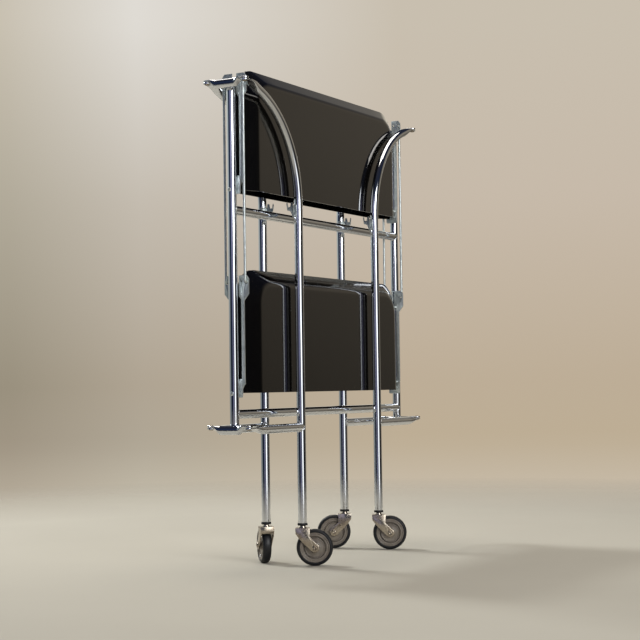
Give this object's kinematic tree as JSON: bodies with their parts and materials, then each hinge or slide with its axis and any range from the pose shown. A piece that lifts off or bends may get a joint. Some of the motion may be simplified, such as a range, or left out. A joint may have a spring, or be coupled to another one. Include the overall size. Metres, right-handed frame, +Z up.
{
  "type": "folding trolley",
  "caption": "Two-tier serving trolley shown folded flat: tube frame, swing-out legs on swivel castors and black trays split lengthwise.",
  "frame": {"origin": "on the floor under the middle of the folded trolley", "axes": "+X along the trolley's length towards its right-hand upright, +Y from the front pair of legs to the rear pair, +Z up"},
  "size_m": [0.689, 0.1756, 0.8828],
  "materials": {
    "chrome": "polished chrome plate",
    "zinc": "satin zinc plate",
    "nickel": "weathered nickel plate",
    "bush": "moulded plastic",
    "socket": "moulded plastic",
    "tray": "glossy black enamel",
    "wheel": "grey moulded wheel",
    "tyre": "black rubber tread"
  },
  "bodies": {
    "frame": {"bracket_screws": "zinc", "gate_rivets": "nickel", "handle_bar_left": "chrome", "handle_bar_right": "chrome", "hinge_bushes": "bush", "lower_bar_left": "chrome", "lower_bar_right": "chrome", "lower_crossbar": "chrome", "tray_bracket_lower_left": "zinc", "tray_bracket_lower_right": "zinc", "tray_bracket_upper_left": "zinc", "tray_bracket_upper_right": "zinc", "tray_hinge_pins": "zinc", "upper_crossbar": "chrome", "upright_left": "chrome", "upright_right": "chrome"},
    "gate_front_left": {"leg_front_left": "chrome", "stay_front_left": "chrome", "tray_rest_front_left": "zinc", "foot_socket_front_left": "socket"},
    "castor_front_left": {"castor_fork_front_left": "nickel", "castor_axle_front_left": "nickel"},
    "wheel_front_left": {"castor_wheel_front_left": "wheel", "castor_tyre_front_left": "tyre"},
    "gate_front_right": {"leg_front_right": "chrome", "stay_front_right": "chrome", "tray_rest_front_right": "zinc", "foot_socket_front_right": "socket"},
    "castor_front_right": {"castor_fork_front_right": "nickel", "castor_axle_front_right": "nickel"},
    "wheel_front_right": {"castor_wheel_front_right": "wheel", "castor_tyre_front_right": "tyre"},
    "gate_rear_left": {"leg_rear_left": "chrome", "stay_rear_left": "chrome", "tray_rest_rear_left": "zinc", "foot_socket_rear_left": "socket"},
    "castor_rear_left": {"castor_fork_rear_left": "nickel", "castor_axle_rear_left": "nickel"},
    "wheel_rear_left": {"castor_wheel_rear_left": "wheel", "castor_tyre_rear_left": "tyre"},
    "gate_rear_right": {"leg_rear_right": "chrome", "stay_rear_right": "chrome", "tray_rest_rear_right": "zinc", "foot_socket_rear_right": "socket"},
    "castor_rear_right": {"castor_fork_rear_right": "nickel", "castor_axle_rear_right": "nickel"},
    "wheel_rear_right": {"castor_wheel_rear_right": "wheel", "castor_tyre_rear_right": "tyre"},
    "upper_tray_front_half": {"upper_tray_front": "tray", "upper_arms_front": "zinc"},
    "lower_tray_front_half": {"lower_tray_front": "tray", "lower_arms_front": "zinc"},
    "link_front_left": {"link_rod_front_left": "zinc"},
    "link_front_right": {"link_rod_front_right": "zinc"},
    "upper_tray_rear_half": {"upper_tray_rear": "tray", "upper_arms_rear": "zinc"},
    "lower_tray_rear_half": {"lower_tray_rear": "tray", "lower_arms_rear": "zinc"},
    "link_rear_left": {"link_rod_rear_left": "zinc"},
    "link_rear_right": {"link_rod_rear_right": "zinc"}
  },
  "joints": [
    {"name": "gate_front_left_swing", "type": "hinge", "parent": "frame", "child": "gate_front_left", "pos_m": [-0.3353, -0.038, 0.55], "axis": [0, 0, -1], "range_deg": [0, 90]},
    {"name": "castor_front_left_swivel", "type": "hinge", "parent": "gate_front_left", "child": "castor_front_left", "pos_m": [-0.153, -0.038, 0.075], "axis": [0, 0, 1], "continuous": true},
    {"name": "wheel_front_left_spin", "type": "hinge", "parent": "castor_front_left", "child": "wheel_front_left", "pos_m": [-0.14267, -0.05686, 0.033], "axis": [0.8771, 0.4802, 0], "continuous": true},
    {"name": "gate_front_right_swing", "type": "hinge", "parent": "frame", "child": "gate_front_right", "pos_m": [0.3353, -0.038, 0.55], "axis": [0, 0, 1], "range_deg": [0, 90]},
    {"name": "castor_front_right_swivel", "type": "hinge", "parent": "gate_front_right", "child": "castor_front_right", "pos_m": [0.153, -0.038, 0.075], "axis": [0, 0, 1], "continuous": true},
    {"name": "wheel_front_right_spin", "type": "hinge", "parent": "castor_front_right", "child": "wheel_front_right", "pos_m": [0.16332, -0.05686, 0.033], "axis": [0.8771, 0.4802, 0], "continuous": true},
    {"name": "gate_rear_left_swing", "type": "hinge", "parent": "frame", "child": "gate_rear_left", "pos_m": [-0.3353, 0.038, 0.55], "axis": [0, 0, 1], "range_deg": [0, 90]},
    {"name": "castor_rear_left_swivel", "type": "hinge", "parent": "gate_rear_left", "child": "castor_rear_left", "pos_m": [-0.153, 0.038, 0.075], "axis": [0, 0, 1], "continuous": true},
    {"name": "wheel_rear_left_spin", "type": "hinge", "parent": "castor_rear_left", "child": "wheel_rear_left", "pos_m": [-0.13702, 0.05239, 0.033], "axis": [-0.6691, 0.7431, 0], "continuous": true},
    {"name": "gate_rear_right_swing", "type": "hinge", "parent": "frame", "child": "gate_rear_right", "pos_m": [0.3353, 0.038, 0.55], "axis": [0, 0, -1], "range_deg": [0, 90]},
    {"name": "castor_rear_right_swivel", "type": "hinge", "parent": "gate_rear_right", "child": "castor_rear_right", "pos_m": [0.153, 0.038, 0.075], "axis": [0, 0, 1], "continuous": true},
    {"name": "wheel_rear_right_spin", "type": "hinge", "parent": "castor_rear_right", "child": "wheel_rear_right", "pos_m": [0.14267, 0.05686, 0.033], "axis": [-0.8771, -0.4802, 0], "continuous": true},
    {"name": "upper_tray_front_tilt", "type": "hinge", "parent": "frame", "child": "upper_tray_front_half", "pos_m": [0, -0.00475, 0.6705], "axis": [1, 0, 0], "range_deg": [0, 1.5]},
    {"name": "lower_tray_front_tilt", "type": "hinge", "parent": "frame", "child": "lower_tray_front_half", "pos_m": [0, -0.00475, 0.3168], "axis": [1, 0, 0], "range_deg": [0, 1.5]},
    {"name": "link_front_left_hang", "type": "hinge", "parent": "upper_tray_front_half", "child": "link_front_left", "pos_m": [-0.311, -0.0195, 0.8585], "axis": [1, 0, 0], "range_deg": [-1.5, 0]},
    {"name": "link_front_right_hang", "type": "hinge", "parent": "upper_tray_front_half", "child": "link_front_right", "pos_m": [0.311, -0.0195, 0.8585], "axis": [1, 0, 0], "range_deg": [-1.5, 0]},
    {"name": "upper_tray_rear_tilt", "type": "hinge", "parent": "frame", "child": "upper_tray_rear_half", "pos_m": [0, 0.00475, 0.6705], "axis": [-1, 0, 0], "range_deg": [0, 1.5]},
    {"name": "lower_tray_rear_tilt", "type": "hinge", "parent": "frame", "child": "lower_tray_rear_half", "pos_m": [0, 0.00475, 0.3168], "axis": [-1, 0, 0], "range_deg": [0, 1.5]},
    {"name": "link_rear_left_hang", "type": "hinge", "parent": "upper_tray_rear_half", "child": "link_rear_left", "pos_m": [-0.311, 0.0195, 0.8585], "axis": [-1, 0, 0], "range_deg": [-1.5, 0]},
    {"name": "link_rear_right_hang", "type": "hinge", "parent": "upper_tray_rear_half", "child": "link_rear_right", "pos_m": [0.311, 0.0195, 0.8585], "axis": [-1, 0, 0], "range_deg": [-1.5, 0]}
  ],
  "couplings": [
    {"joint": "lower_tray_front_tilt", "follows": "upper_tray_front_tilt", "ratio": 1},
    {"joint": "link_front_left_hang", "follows": "upper_tray_front_tilt", "ratio": -1},
    {"joint": "link_front_right_hang", "follows": "upper_tray_front_tilt", "ratio": -1},
    {"joint": "lower_tray_rear_tilt", "follows": "upper_tray_rear_tilt", "ratio": 1},
    {"joint": "link_rear_left_hang", "follows": "upper_tray_rear_tilt", "ratio": -1},
    {"joint": "link_rear_right_hang", "follows": "upper_tray_rear_tilt", "ratio": -1}
  ]
}
